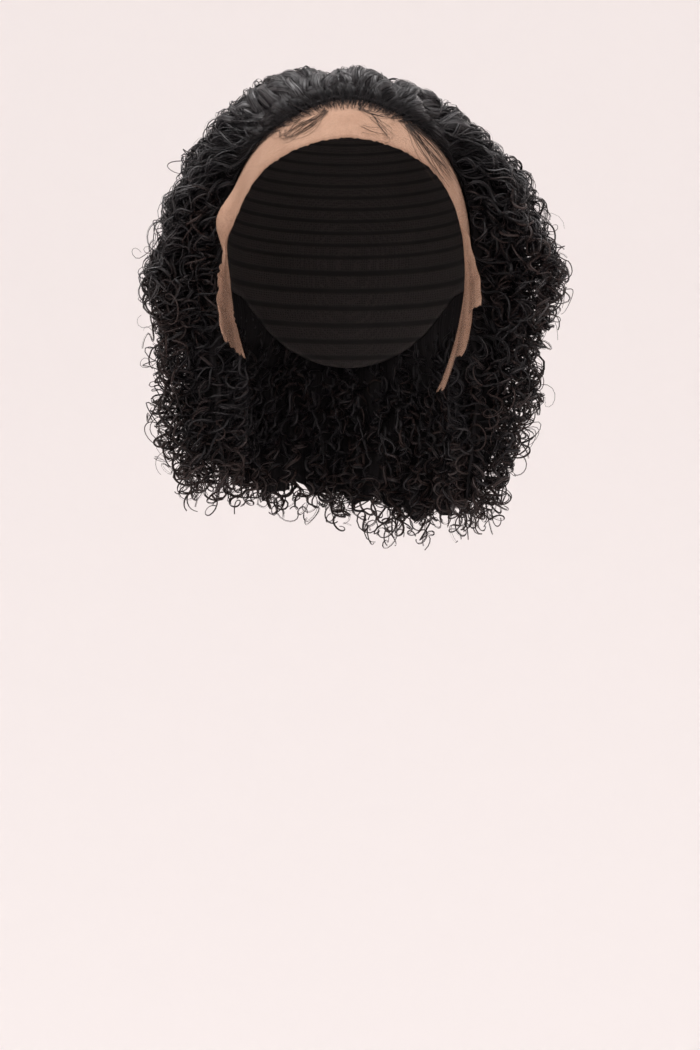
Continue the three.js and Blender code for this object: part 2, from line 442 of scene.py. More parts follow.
@dataclass
class Comb:
    """Lays locks over the form, the way that the hair is combed and falls.

    Names in from, over and ease are shares of a lock's length or of the dome's height, where something
    starts or over which it eases in.
    """

    form: HairForm
    seed: int
    steps: int = 60
    drift: float = 0.12
    back_least: float = 0.08
    back_over: Span = (0.05, 0.8)
    down_lost: float = 0.9
    down_over: Span = (0.35, 0.97)
    outward: float = 0.5
    front_scatter: Span = (0, 9)
    front_ease: float = 0.4
    rise_power: float = 1.3
    least_stand: Span = (0.12, 0.1)
    sway_length: Span = mm(40, 70)
    sway_ease: float = 0.3
    stray_length: float = 50 * MM
    tip_from: float = 0.7
    curl_ease: float = 0.25
    end_from: float = 0.75
    wobble: float = 0.2
    wobble_rates: Span = (9, 22)
    wobble_starts: Span = (0, 6)
    swell_rates: Span = (12, 30)
    root_ease: float = 0.12
    slack: float = 0.55
    clear: float = 0.4 * MM
    root_flat: float = 0.12
    flat_ease: float = 0.16
    hair_jitter: Span = (-0.3, 0.3)
    hair_twist: Span = (1.5, 1.0)
    hair_wave: Span = (0.3, 18)
    hair_apart: Span = (0.92, 1.12)
    tip_fray: float = 0.25
    root_width: float = 0.6
    tip_width: float = 0.45
    body_share: float = 0.94
    body_tones: Span = (0, 0.4)
    body_streaks: float = 30.0

    def __post_init__(self) -> None:
        """Start the settled run of chances."""
        self.rng = np.random.default_rng(self.seed)

    def draw(self, span: Span, count: int) -> Array:
        """Draw a number for each lock, as a column."""
        return self.rng.uniform(*span, (count, 1))

    def fall(self, points: Array, sweep: float) -> Array:
        """Find which way the hair is combed at points on the form.

        Args:
            points: Points on the form.
            sweep: How strongly it is combed to the back.

        Returns:
            Directions of length one along the form.
        """
        head = self.form.head
        high = np.clip((points[..., 2] + head.crown) / head.crown, 0, 1)
        back = sweep * (self.back_least + smooth_step(high, *self.back_over))
        down = 1 - self.down_lost * smooth_step(high, *self.down_over)
        out = self.outward * high * points[..., 0] / head.half_width
        return flattened(np.stack([out, back, -down], axis=-1), head.normal(points))

    def trace(self, roots: Array, lengths: Array, sweep: float) -> Array:
        """Follow the fall of the hair from its roots.

        Args:
            roots: Points on the form, one a lock.
            lengths: How far each lock runs.
            sweep: How strongly it is combed to the back.

        Returns:
            Points by lock and step.
        """
        head = self.form.head
        place = head.seat(roots)
        drift = self.rng.normal(0, self.drift, (len(roots), 1))
        path = [place]
        for _ in range(self.steps):
            way = self.fall(place, sweep)
            across = np.cross(head.normal(place), way)
            place = head.seat(place + (way + across * drift) * (lengths / self.steps)[:, None])
            path.append(place)
        return np.stack(path, axis=1)

    def behind_front(self, azimuth: Array, way: Array) -> Array:
        """Keep locks behind the hairline and the front edge of the sides.

        Args:
            azimuth: Degrees from the face, by lock and step.
            way: Their way down the hair.

        Returns:
            Azimuths, moved back where they lay in front.
        """
        share = np.linspace(0, 1, azimuth.shape[1])[None, :]
        margin = self.draw(self.front_scatter, len(azimuth)) * smooth_step(share, 0, self.front_ease)
        limit = np.minimum(self.form.front.at(way) + margin, 180)
        face = np.maximum(from_face(azimuth), limit)
        return np.where(azimuth > 180, 360 - face, face)

    def guides(self, roots: Array, lock: Lock) -> tuple[Array, ...]:
        """Lay the middle lines of locks in the room that the hair fills.

        Args:
            roots: Points on the form, one a lock.
            lock: Make of the locks.

        Returns:
            Points and outward directions by lock and segment, the distance from the cap at them, the
            locks' lengths, and the radii of their coils and bundles.
        """
        count = len(roots)
        lengths = self.rng.uniform(*lock.length, count)
        path = self.trace(roots, lengths, lock.sweep)
        _, way = self.form.way_of(path)
        last = self.draw(lock.ends, count)
        cut = np.where(way[:, -1:] > last, np.argmax(way > last, axis=1)[:, None], self.steps)
        at = lock.shares() * cut
        low = np.minimum(at.astype(int), self.steps - 1)
        part = (at - low)[..., None]
        rows = np.arange(count)[:, None]
        place = path[rows, low] * (1 - part) + path[rows, low + 1] * part
        azimuth, way = self.form.way_of(place)
        azimuth = self.behind_front(azimuth, way)
        lengths = lengths * cut[:, 0] / self.steps
        inner = self.form.inner(azimuth, way)
        outer = self.form.outer(azimuth, way)
        room = np.linalg.norm(outer - inner, axis=-1)
        out = (outer - inner) / room[..., None]
        coil = self.draw(lock.coil, count)
        bundle = self.draw(lock.bundle, count)
        along = lock.shares() * lengths[:, None]
        risen = 1 - np.exp(-((along / lock.rise) ** self.rise_power))
        depth = self.draw(lock.depth, count) * risen
        least = np.minimum(self.least_stand[0] * room, self.least_stand[1] * along)
        stand = np.maximum(room * depth - coil - bundle, least)
        return inner + out * stand[..., None], out, stand, lengths, coil, bundle

    def grow(self, roots: Array, lock: Lock) -> tuple["Strands", "Strands | None"]:
        """Grow curled locks from roots.

        Args:
            roots: Points on the form, one a lock.
            lock: Make of the locks.

        Returns:
            The locks' hairs, and the dark bodies within them where the make has them.
        """
        line, out, stand, lengths, coil, bundle = self.guides(roots, lock)
        count = len(line)
        share = lock.shares()
        line = self.wandered(line, out, lengths, lock)
        tangent = tangents(line)
        out = flattened(out, tangent)
        aside = np.cross(tangent, out)
        tight = smooth_step(share, lock.curl_from - self.curl_ease, lock.curl_from + self.curl_ease)
        pitch = self.draw(lock.pitch, count) * (lock.loose + (1 - lock.loose) * tight)
        ending = smooth_step(share, self.end_from, 1)
        wave = np.sin(share * self.draw(self.wobble_rates, count) + self.draw(self.wobble_starts, count))
        rate = (1 + self.wobble * wave) / (1 - lock.tip_curl * ending)
        step = np.diff(share, axis=1, prepend=0.0) * lengths[:, None]
        turn = np.cumsum(TURN * step / pitch * rate, axis=1) + self.draw((0, TURN), count)
        turn = turn * self.rng.choice([-1.0, 1.0], (count, 1))
        radius = coil * (1 + self.wobble * np.sin(share * self.draw(self.swell_rates, count)))
        radius = radius * smooth_step(share, 0, self.root_ease) * (1 + self.wobble * ending)
        radius = radius * (self.slack + (1 - self.slack) * tight)
        radius = np.minimum(radius, np.maximum(stand - self.clear, 0))
        about = self.draw((0, TURN), count)
        first = out * np.cos(about)[..., None] + aside * np.sin(about)[..., None]
        second = aside * np.cos(about)[..., None] - out * np.sin(about)[..., None]
        tilt = np.radians(lock.tilt[0] * tight + (lock.tilt[1] - lock.tilt[0]) * ending)[..., None]
        second = second * np.cos(tilt) + tangent * np.sin(tilt)
        line = line + first * (radius * np.cos(turn))[..., None] + second * (radius * np.sin(turn))[..., None]
        bow = lock.bow * radius * np.sin(0.5 * turn + about)
        line = line + np.cross(first, second) * bow[..., None]
        thin = bundle * (1 - lock.thin_by * smooth_step(share, lock.thin_from, 1))
        flat = self.root_flat + (1 - self.root_flat) * smooth_step(share, 0, self.flat_ease)
        hairs = self.bundled(line, carried_frames(line, aside[:, 0]), thin, flat, lock)
        if lock.body_sides == 0:
            return hairs, None
        tones = self.rng.uniform(*self.body_tones, count)
        return hairs, Strands(line, thin * flat * self.body_share, tones, Section.TUBE,
                              sides=lock.body_sides, streaks=self.body_streaks)

    def wandered(self, line: Array, out: Array, lengths: Array, lock: Lock) -> Array:
        """Let locks stray from the comb's straight way, most of all at their tips.

        Args:
            line: Points by lock and segment.
            out: Outward directions at them.
            lengths: The locks' lengths.
            lock: Make of the locks.

        Returns:
            The points, moved.
        """
        count = len(line)
        share = lock.shares()
        aside = np.cross(tangents(line), out)
        rate = TURN * lengths[:, None] / self.draw(self.sway_length, count)
        start = self.draw((0, TURN), count)
        sway = lock.wander * np.sin(share * rate + start) * smooth_step(share, 0, self.sway_ease)
        tip = smooth_step(share, self.tip_from, 1)
        sway = sway + self.rng.normal(0, lock.flick, (count, 1)) * tip
        push = np.abs(self.rng.normal(0, lock.flick, (count, 1))) * tip
        ease = smooth_step(lengths[:, None], 0.0, self.stray_length)
        return line + (aside * sway[..., None] + out * push[..., None]) * ease[..., None]

    def bundled(self, line: Array, frames: tuple[Array, Array], thin: Array, flat: Array,
                lock: Lock) -> "Strands":
        """Lay each lock's hairs on the face of its bundle.

        Args:
            line: Points by lock and segment.
            frames: Sideways and outward directions at them.
            thin: The bundles' radii at them.
            flat: How flat the bundles lie there, 1 where they are round.
            lock: Make of the locks.

        Returns:
            The hairs.
        """
        rng = self.rng
        count = len(line)
        share = np.linspace(0, 1, line.shape[1])[None, :]
        taper = self.root_width + (1 - self.root_width) * smooth_step(share, 0, 0.1)
        taper = taper * (1 - (1 - self.tip_width) * smooth_step(share, self.end_from, 1))
        height, rate = self.hair_wave
        lines = []
        faces = []
        widths = []
        for hair in range(lock.hairs):
            turn = TURN * (hair + self.draw(self.hair_jitter, count)) / lock.hairs
            turn = turn + share * rng.normal(*self.hair_twist, (count, 1))
            turn = turn + height * np.sin(share * rate + hair)
            apart = thin * self.draw(self.hair_apart, count)
            apart = apart * (1 + rng.normal(0, self.tip_fray, (count, 1)) * share**3)
            aside = frames[0] * np.cos(turn)[..., None]
            upward = frames[1] * np.sin(turn)[..., None]
            lines.append(line + (aside + upward * flat[..., None]) * apart[..., None])
            faces.append(unit(aside * flat[..., None] + upward))
            widths.append(self.draw(lock.width, count) / 2 * taper)
        tones = rng.uniform(0, 1, count * lock.hairs)
        return Strands(
            np.concatenate(lines), np.concatenate(widths), tones, lock.section, np.concatenate(faces))


def carried_frames(lines: Array, start: Array) -> tuple[Array, Array]:
    """Carry two cross directions along lines without twist.

    Args:
        lines: Points by line and segment.
        start: About the way that the first direction points at each line's start.

    Returns:
        First and second cross direction, by line and segment.
    """
    tangent = tangents(lines)
    carried = [start]
    for k in range(tangent.shape[1]):
        carried.append(flattened(carried[-1], tangent[:, k]))
    first = np.stack(carried[1:], axis=1)
    return first, np.cross(tangent, first)


@dataclass
class Strands:
    """Hairs as middle lines with a half width, made into ribbons that face outward, or into tubes."""

    lines: Array
    widths: Array
    tones: Array
    section: Section
    faces: Array | None = None
    sides: int = 3
    streaks: float = 2.0
    lean: float = 0.6
    start_hint: Triple = (0.31, 0.87, 0.38)
    lane_share: float = 0.8

    def rings(self) -> tuple[Array, Array | None]:
        """Find each hair's points across it.

        Returns:
            Points by hair, segment and place across, and the ribbons' shading normals.
        """
        normals = None
        if self.section is Section.TUBE:
            start = np.cross(self.lines[:, 1] - self.lines[:, 0], np.array(self.start_hint))
            first, second = carried_frames(self.lines, unit(start))
            turns = np.arange(self.sides)[:, None] * TURN / self.sides
            across = first[:, :, None] * np.cos(turns) + second[:, :, None] * np.sin(turns)
        else:
            tangent = tangents(self.lines)
            side = unit(np.cross(tangent, self.faces))
            across = np.stack([-side, side], axis=2)
            normals = unit(np.cross(side, tangent)[:, :, None] + self.lean * across)
        return self.lines[:, :, None] + across * self.widths[..., None, None], normals

    def build(self, name: str) -> Piece:
        """Make the mesh, with a row of its map for each hair.

        Args:
            name: Name of the piece.

        Returns:
            The object, in the scene.
        """
        vertices, normals = self.rings()
        count, points, around = vertices.shape[:3]
        spans = around if self.section is Section.TUBE else 1
        hair = np.arange(count)[:, None, None]
        row = np.arange(points - 1)[None, :, None]
        here = np.arange(spans)[None, None, :]
        base = (hair * points + row) * around
        a = base + here
        b = base + (here + 1) % around
        quads = np.stack([a, b, b + around, a + around], axis=-1)
        along = (row[..., None] + np.array([0, 0, 1, 1])) / (points - 1)
        lane = (here[..., None] + np.array([0, 1, 1, 0])) / spans
        lane = (hair[..., None] + (1 - self.lane_share) / 2 + self.lane_share * lane) / count
        corners = np.stack(np.broadcast_arrays(along, lane), axis=-1)
        marks = {
            "tone": np.repeat(self.tones, points * around),
            "tip": np.tile(np.repeat(np.linspace(0, 1, points), around), count),
            "lane": np.tile(np.arange(around) / spans * self.streaks, count * points),
        }
        return grid_object(name, vertices, quads, corners, marks, normals)


def grid_object(name: str, vertices: Array, quads: Array, corners: Array | None = None,
                marks: dict[str, Array] | None = None, normals: Array | None = None) -> Piece:
    """Make an object from four-sided faces.

    Args:
        name: Name of the object.
        vertices: Points, with x, y and z on the last axis.
        quads: Vertex numbers, with a face's four on the last axis.
        corners: Map coordinates of each face corner.
        marks: Numbers by name, one for each vertex.
        normals: Shading normals, one for each vertex.

    Returns:
        The object, linked to the scene.
    """
    mesh = bpy.data.meshes.new(name)
    mesh.vertices.add(vertices.size // 3)
    mesh.vertices.foreach_set("co", np.ascontiguousarray(vertices, np.float32).ravel())
    mesh.loops.add(quads.size)
    mesh.loops.foreach_set("vertex_index", np.ascontiguousarray(quads, np.int32).ravel())
    mesh.polygons.add(quads.size // 4)
    mesh.polygons.foreach_set("loop_start", np.arange(0, quads.size, 4, dtype=np.int32))
    mesh.polygons.foreach_set("use_smooth", np.ones(quads.size // 4, dtype=bool))
    mesh.update(calc_edges=True)
    if corners is not None:
        layer = mesh.uv_layers.new(name="OFBake")
        layer.data.foreach_set("uv", np.ascontiguousarray(corners, np.float32).ravel())
    for label, numbers in (marks or {}).items():
        attribute = mesh.attributes.new(label, "FLOAT", "POINT")
        attribute.data.foreach_set("value", np.ascontiguousarray(numbers, np.float32))
    if normals is not None:
        mesh.normals_split_custom_set_from_vertices([tuple(n) for n in normals.reshape(-1, 3)])
    mesh.validate()
    made = bpy.data.objects.new(name, mesh)
    bpy.context.scene.collection.objects.link(made)
    return made


def grid_quads(columns: int, rows: int) -> Array:
    """Number the four corners of each face of a grid, in order round the face."""
    n = np.arange(columns * rows).reshape(columns, rows)
    return np.stack([n[:-1, :-1], n[:-1, 1:], n[1:, 1:], n[1:, :-1]], axis=-1).reshape(-1, 4)


def shell_object(name: str, inner: Array, outer: Array, marks: dict[str, Array]) -> Piece:
    """Close an inner and an outer grid into one wall.

    Args:
        name: Name of the object.
        inner: Inner points by column and row.
        outer: Outer points by column and row, outward of the inner ones.
        marks: Numbers by name, by column and row, given to both surfaces.

    Returns:
        The object, linked to the scene, with a map of two panels.
    """
    columns, rows = inner.shape[:2]
    size = columns * rows
    face = grid_quads(columns, rows)
    faces = [face, face[:, [3, 2, 1, 0]] + size]
    numbers = np.arange(size).reshape(columns, rows)
    for rim in (numbers[:, 0], numbers[-1, :], numbers[::-1, -1], numbers[0, ::-1]):
        faces.append(np.stack([rim[:-1], rim[1:], rim[1:] + size, rim[:-1] + size], -1))
    quads = np.concatenate(faces)
    u, v = np.meshgrid(np.linspace(*MAP_EDGES, columns), np.linspace(*MAP_EDGES[::-1], rows), indexing="ij")
    panels = [np.stack([(u + panel) / 2, v], -1).reshape(-1, 2) for panel in (0, 1)]
    corners = np.concatenate(panels)[quads]
    rim_start = 2 * len(face)
    corners[rim_start:] = corners[rim_start:, :1]
    both = {label: np.concatenate([part.ravel(), part.ravel()]) for label, part in marks.items()}
    return grid_object(name, np.stack([outer, inner]), quads, corners, both)


class Nodes:
    """A small helper that lays out a material's nodes and links."""

    def __init__(self, name: str) -> None:
        """Start a material with its shader and its output.

        Args:
            name: Name of the material.
        """
        self.material = bpy.data.materials.new(name)
        self.material.use_nodes = True
        self.tree = self.material.node_tree
        self.shader = self.tree.nodes["Principled BSDF"]

    def feed(self, node: bpy.types.Node, inputs: dict[str | int, object]) -> None:
        """Link each input to a socket, or set its value.

        Args:
            node: The node.
            inputs: Sockets or values, by the input's name or number. Three numbers are a colour.
        """
        for label, value in inputs.items():
            if isinstance(value, Socket):
                self.tree.links.new(value, node.inputs[label])
            else:
                node.inputs[label].default_value = (*value, 1) if isinstance(value, tuple) else value

    def add(self, kind: str, inputs: dict[str | int, object], out: str | int = 0, **settings: str) -> Socket:
        """Add a node.

        Args:
            kind: Node type, without its first word.
            inputs: Sockets or values, by the input's name or number.
            out: The output that is wanted, by its name or number.
            settings: Properties by name.

        Returns:
            That output.
        """
        node = self.tree.nodes.new("ShaderNode" + kind)
        for label, value in settings.items():
            setattr(node, label, value)
        self.feed(node, inputs)
        return node.outputs[out]

    def mark(self, name: str) -> Socket:
        """Read one of the mesh's marks."""
        return self.add("Attribute", {}, "Fac", attribute_name=name)

    def place(self) -> Socket:
        """Read the place on the object."""
        return self.add("TexCoord", {}, "Object")

    def maths(self, operation: str, *values: Socket | float) -> Socket:
        """Work out a number from others."""
        return self.add("Math", dict(enumerate(values)), operation=operation)

    def spread(self, value: Socket, given: Span, wanted: Span) -> Socket:
        """Move a number from one range to another."""
        ends = {"From Min": given[0], "From Max": given[1], "To Min": wanted[0], "To Max": wanted[1]}
        return self.add("MapRange", {"Value": value, **ends})

    def net(self, cell: float, chance: float) -> Socket:
        """Find the distance from the threads of a net."""
        inputs = {"Vector": self.place(), "Scale": 1 / cell, "Randomness": chance}
        return self.add("TexVoronoi", inputs, feature="DISTANCE_TO_EDGE")

    def bump(self, height: Socket, strength: float, distance: float) -> Socket:
        """Raise the surface by a number."""
        return self.add("Bump", {"Height": height, "Strength": strength, "Distance": distance})

    def ramp(self, source: Socket, stops: tuple[tuple[float, Triple], ...]) -> Socket:
        """Colour a number by stops.

        Args:
            source: Number from 0 to 1.
            stops: Places and colours.

        Returns:
            The colour.
        """
        colour = self.add("ValToRGB", {"Fac": source})
        elements = colour.node.color_ramp.elements
        while len(elements) < len(stops):
            elements.new(0.5)
        for element, (place, tint) in zip(elements, stops):
            element.position = place
            element.color = (*tint, 1)
        return colour


@dataclass(frozen=True)
class HairFinish:
    """Near-black hair with a soft sheen in fine streaks, a little browner at its ends, and painted shade at
    its roots, where colour and gloss are darkened.
    """

    root: Triple = (0.0105, 0.0094, 0.0104)
    tip: Triple = (0.028, 0.0180, 0.0162)
    roughness: Span = (0.3, 0.6)
    specular: Span = (0.09, 0.34)
    streak: float = 0.5 * MM
    # Share of the lock over which the painted root shade eases out
    root_shade_share: float = 0.02
    hair_step: float = 90.0
    tone_lean: float = 0.45
    middle: float = 0.62
    middle_gain: float = 1.35
    root_gain: float = 0.4
    root_light: float = 0.06
    streak_depth: Span = (0.5, 1.5)
    depth_over: Span = (0.35, 0.65)
    shine_over: Span = (0.4, 0.6)
    gloss_over: Span = (0.3, 0.7)

    def make(self, name: str) -> Material:
        """Lay out the finish.

        Args:
            name: Name of the material.

        Returns:
            The material.
        """
        nodes = Nodes(name)
        tip = nodes.mark("tip")
        tone = nodes.mark("tone")
        apart = nodes.maths("MULTIPLY", tone, self.hair_step)
        place = nodes.add("CombineXYZ", {"X": nodes.mark("lane"), "Y": tip, "Z": apart})
        streaks = nodes.add("TexNoise", {"Vector": place, "Scale": 1.0, "Detail": 3.0, "Roughness": 0.7})
        ramp = nodes.ramp(nodes.maths("MULTIPLY_ADD", tone, self.tone_lean, tip), (
            (0.0, self.root),
            (self.middle, tuple(c * self.middle_gain for c in self.root)),
            (1.0, self.tip),
        ))
        # Painted shade at the roots: colour and gloss darken towards the root
        out_of_root_shade = nodes.spread(tip, (0.25 * self.root_shade_share, self.root_shade_share), (self.root_light, 1.0))
        dark = tuple(c * self.root_gain for c in self.root)
        shaded = nodes.add("MixRGB", {"Fac": out_of_root_shade, "Color1": dark, "Color2": ramp})
        depth = nodes.spread(streaks, self.depth_over, self.streak_depth)
        streaked = nodes.add("MixRGB", {"Fac": 1.0, "Color1": shaded, "Color2": depth}, blend_type="MULTIPLY")
        shine = nodes.spread(streaks, self.shine_over, self.specular)
        nodes.feed(nodes.shader, {
            "Base Color": streaked,
            "Roughness": nodes.spread(streaks, self.gloss_over, self.roughness),
            "Normal": nodes.bump(streaks, 0.7, self.streak),
            "Specular IOR Level": nodes.maths("MULTIPLY", shine, out_of_root_shade),
        })
        return nodes.material


@dataclass(frozen=True)
class NetFinish:
    """Fine net: threads round small holes, so that what lies behind shows through."""

    thread: Triple = (0.56, 0.36, 0.255)
    shade: Triple = (0.47, 0.285, 0.195)
    # Darker colour for the knots along the hairline, and for painted shade in the ear tabs' pleat valleys
    knots_and_pleat_shade: Triple = (0.15, 0.085, 0.058)
    cell: float = 0.55 * MM
    closed: float = 0.62
    open: float = 0.16
    roughness: float = 0.8
    specular: float = 0.2
    cloud_scale: float = 60.0

    def make(self, name: str) -> Material:
        """Lay out the finish.

        Args:
            name: Name of the material.

        Returns:
            The material.
        """
        nodes = Nodes(name)
        cells = nodes.net(self.cell, 0.7)
        cloud = nodes.add("TexNoise", {"Vector": nodes.place(), "Scale": self.cloud_scale, "Detail": 3.0})
        ramp = nodes.ramp(cloud, ((0.3, self.shade), (0.7, self.thread)))
        # The mark holds the real knots on the lace panel and painted pleat shade on the ear tabs
        mixed = nodes.add("MixRGB", {"Fac": nodes.mark("knots_and_pleat_shade"), "Color1": ramp, "Color2": self.knots_and_pleat_shade})
        nodes.feed(nodes.shader, {
            "Base Color": mixed,
            "Alpha": nodes.spread(cells, (0.05, 0.3), (self.closed, self.open)),
            "Normal": nodes.bump(cells, 0.25, 0.2 * MM),
            "Roughness": self.roughness,
            "Specular IOR Level": self.specular,
        })
        return nodes.material


@dataclass(frozen=True)
class CapFinish:
    """Dark stretch net, with the sewn rows of weft showing as darker tracks."""

    net: Triple = (0.030, 0.025, 0.024)
    track: Triple = (0.008, 0.007, 0.007)
    cell: float = 1 / 650
    roughness: float = 0.85
    specular: float = 0.25

    def make(self, name: str) -> Material:
        """Lay out the finish.

        Args:
            name: Name of the material.

        Returns:
            The material.
        """
        nodes = Nodes(name)
        track = nodes.maths("PINGPONG", nodes.mark("rows"), 0.5)
        threads = nodes.spread(nodes.net(self.cell, 0.4), (0.02, 0.25), (1.0, 0.35))
        both = nodes.maths("MULTIPLY", threads, nodes.spread(track, (0.08, 0.2), (0.0, 1.0)))
        nodes.feed(nodes.shader, {
            "Base Color": nodes.ramp(both, ((0.0, self.track), (1.0, self.net))),
            "Normal": nodes.bump(both, 0.5, 0.6 * MM),
            "Roughness": self.roughness,
            "Specular IOR Level": self.specular,
        })
        return nodes.material


def dress(piece: Piece, material: Material, replaces: str | None = None) -> None:
    """Give a piece its finish and its body, and hide the node that it stands for.

    Args:
        piece: The piece.
        material: Its finish.
        replaces: The node that it stands for, if any.
    """
    piece.data.materials.append(material)
    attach(piece, "root")
    if replaces is not None:
        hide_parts(replaces)
    LOG.info("%s: %d faces", piece.name, len(piece.data.polygons))


@dataclass
class LaceFront:
    """The sheer lace panel from ear to ear, with a free front edge that stands off at one temple.

    Edges are in degrees from the crown, against degrees from the face.
    """

    head: HeadForm = HeadForm()
    hairline: Table = HairForm().hairline
    flat: Span = (0.33, 0.115)
    knot_reach: Table = Table((0, 35, 60, 79), (11, 9, 6, 4))
    knot_tone: float = 0.85
    thickness: float = 0.5 * MM
    clear: float = 0.1 * MM
    seam_gap: float = 0.2 * MM
    columns: int = 120
    rows: int = 34
    edge: Table = Table((0, 15, 30, 45, 54, 63, 69, 75, 90), (55, 56.5, 60, 66, 73, 84, 92, 100, 101))
    ragged: Waves = Waves(((0.25, 1.9, 0), (0.2, 5.3, 1)))
    torn: Waves = Waves(((0.9, 2.7, 0), (0.5, 7.1, 0)))
    torn_over: Span = (60, 72)
    trimmed: float = 0.6
    tab_front: Span = (62.5, 64.0)
    tab_back: Span = (76.5, 78.0)
    tab_overlap: float = 0.55
    ripple: float = 0.5 * MM
    ripple_rate: float = 23
    ripple_over: Span = (35, 60)
    lifted_azimuth: float = 288.0
    lifted_polar: float = 84.0
    lifted_height: float = 9 * MM
    lifted_round: float = 6.0
    lifted_down: float = 10.0

    def lift(self, azimuth: Array, polar: Array) -> Array:
        """Find how far the lifted edge stands off.

        Args:
            azimuth: Degrees from the face.
            polar: Degrees from the crown.

        Returns:
            Distances from the form.
        """
        turn = (azimuth - self.lifted_azimuth) / self.lifted_round
        down = (polar - self.lifted_polar) / self.lifted_down
        return self.lifted_height * np.exp(-turn * turn - down * down)

    def cut(self, azimuth: Array) -> Array:
        """Find the free edge, with the small steps that the shears left.

        Args:
            azimuth: Degrees from the face.

        Returns:
            Degrees from the crown.
        """
        face = from_face(azimuth)
        ragged = self.ragged.at(azimuth) + smooth_step(face, *self.torn_over) * self.torn.at(azimuth)
        joined = smooth_step(face, *self.tab_front) * (1 - smooth_step(face, *self.tab_back))
        return self.edge.at(face) + (ragged - self.trimmed) * (1 - joined) + self.tab_overlap * joined

    def build(self, material: Material) -> None:
        """Make the panel and dress it.

        Args:
            material: Its finish.
        """
        azimuth = np.mod(np.linspace(270, 450, self.columns), 360)[:, None]
        share = np.linspace(0.02, 1, self.rows)[None, :]
        polar = share * self.cut(azimuth)
        turn = azimuth + 0 * polar
        face = from_face(turn)
        ripple = smooth_step(share, 0.75, 1) * np.sin(np.radians(turn) * self.ripple_rate)
        ripple = self.ripple * ripple * smooth_step(face, *self.ripple_over)
        stand = self.lift(turn, polar) + np.abs(ripple) + self.clear
        low = self.head.point(turn, polar, stand)
        high = self.head.point(turn, polar, stand + self.thickness)
        low[..., 1] -= self.seam_gap
        high[..., 1] -= self.seam_gap
        ahead = (polar - self.hairline.at(face)) / self.knot_reach.at(face)
        knots_and_pleat_shade = self.knot_tone * (1 - smooth_step(ahead, 0.1, 1.0))
        piece = shell_object("lace_panel", low, high, {"knots_and_pleat_shade": knots_and_pleat_shade})
        dress(piece, material, "lace_front")


@dataclass
class EarTab:
    """A loose end of spare lace that hangs at an ear, pleated, with a torn hem."""

    side: Side
    lace: LaceFront
    pleats: float
    pleat_depth: float
    hem: Table
    flat: Span
    flare: float = 12 * MM
    ruffle: float = 0.0
    ruffle_at: float = 0.46
    ruffle_over: float = 0.1
    pleat_shade: float = 0.75
    crease: float = 0.5 * MM
    crease_rates: Span = (34, 3)
    frill_rates: Span = (80, 5)
    frill_depth: float = 0.45
    frill_lost: float = 0.6
    front: float = 64.0
    back: float = 76.5
    overlap: float = 0.5
    wavy: Waves = Waves(((0.9, 11, 0), (0.5, 27, 2)))
    torn: Waves = Waves(((1.1, 23, 0), (0.8, 51, 1)))
    clear: float = 0.2 * MM
    thickness: float = 0.5 * MM
    columns: int = 36
    rows: int = 72

    def build(self, material: Material) -> None:
        """Make the tab and dress it.

        Args:
            material: Its finish.
        """
        head = self.lace.head
        across = np.linspace(0, 1, self.columns)[:, None]
        share = np.linspace(0, 1, self.rows)[None, :]
        loose = 1 - across
        face = self.front + (self.back - self.front) * across
        top = self.lace.edge.at(face) + self.overlap
        wavy = loose * smooth_step(share, 0, 0.3) * self.wavy.at(share)
        azimuth = np.mod(self.side.value * (face + wavy), 360)
        bottom = head.polar_at((self.hem.at(across) + self.torn.at(across)) * MM)
        polar = top + (bottom - top) * share
        hang = share**0.8
        pleat = np.cos(TURN * self.pleats * across)
        fold = self.pleat_depth * hang * (1 + pleat)
        crease = self.crease * hang * np.sin(across * self.crease_rates[0] + share * self.crease_rates[1])
        frill = np.exp(-(((share - self.ruffle_at) / self.ruffle_over) ** 2))
        wave = np.sin(share * self.frill_rates[0] + across * self.frill_rates[1])
        frill = frill * (1 - self.frill_depth + self.frill_depth * wave) * (1 - self.frill_lost * across)
        stand = (self.flare * hang + fold + crease) * loose + self.ruffle * frill
        stand = stand + self.lace.lift(azimuth, top) + self.clear
        order = slice(None, None, self.side.value)
        low = head.point(azimuth, polar, stand)[order]
        high = head.point(azimuth, polar, stand + self.thickness)[order]
        # Painted shade: the net darkens in the pleat valleys, more so lower down the tab
        shaded = (self.pleat_shade * hang * (0.5 - 0.5 * pleat))[order]
        name = "ear_tab_" + self.side.name.lower()
        piece = shell_object("lace_" + name, low, high, {"knots_and_pleat_shade": shaded})
        dress(piece, material, name)


@dataclass
class CapCrown:
    """The cap behind the seam: stretch net with rows of weft, bound at the nape."""

    head: HeadForm = HeadForm()
    flat: Span = (0.36, 0.19)
    thickness: float = 0.9 * MM
    clear: float = 0.25 * MM
    seam_gap: float = 0.2 * MM
    columns: int = 60
    rows: int = 64
    row_pitch: float = 9 * MM
    mean_radius: float = 105 * MM
    ridge: float = 0.22 * MM
    ridge_share: float = 0.09
    binding: float = 0.35 * MM
    binding_from: Span = (0.955, 0.97)
    hem: Table = Table((90, 115, 125, 135, 145, 155, 165, 172, 180),
                       (-119, -122, -132, -144, -153, -159, -163, -164.5, -165))

    def build(self, material: Material) -> None:
        """Make the cap and dress it.

        Args:
            material: Its finish.
        """
        azimuth = np.linspace(90, 270, self.columns)[:, None]
        share = np.linspace(0.02, 1, self.rows)[None, :]
        polar = share * self.head.polar_at(self.hem.at(from_face(azimuth)) * MM)
        track = np.radians(polar) * self.mean_radius / self.row_pitch
        off_row = np.abs(np.mod(track, 1) - 0.5) - 0.5
        ridge = self.ridge * np.exp(-((off_row / self.ridge_share) ** 2))
        bound = self.binding * smooth_step(share, *self.binding_from)
        low = self.head.point(azimuth, polar, self.clear - ridge)
        high = self.head.point(azimuth, polar, self.clear + self.thickness + bound)
        low[..., 1] += self.seam_gap
        high[..., 1] += self.seam_gap
        piece = shell_object("weft_cap", low, high, {"rows": track})
        dress(piece, material, "cap_crown")


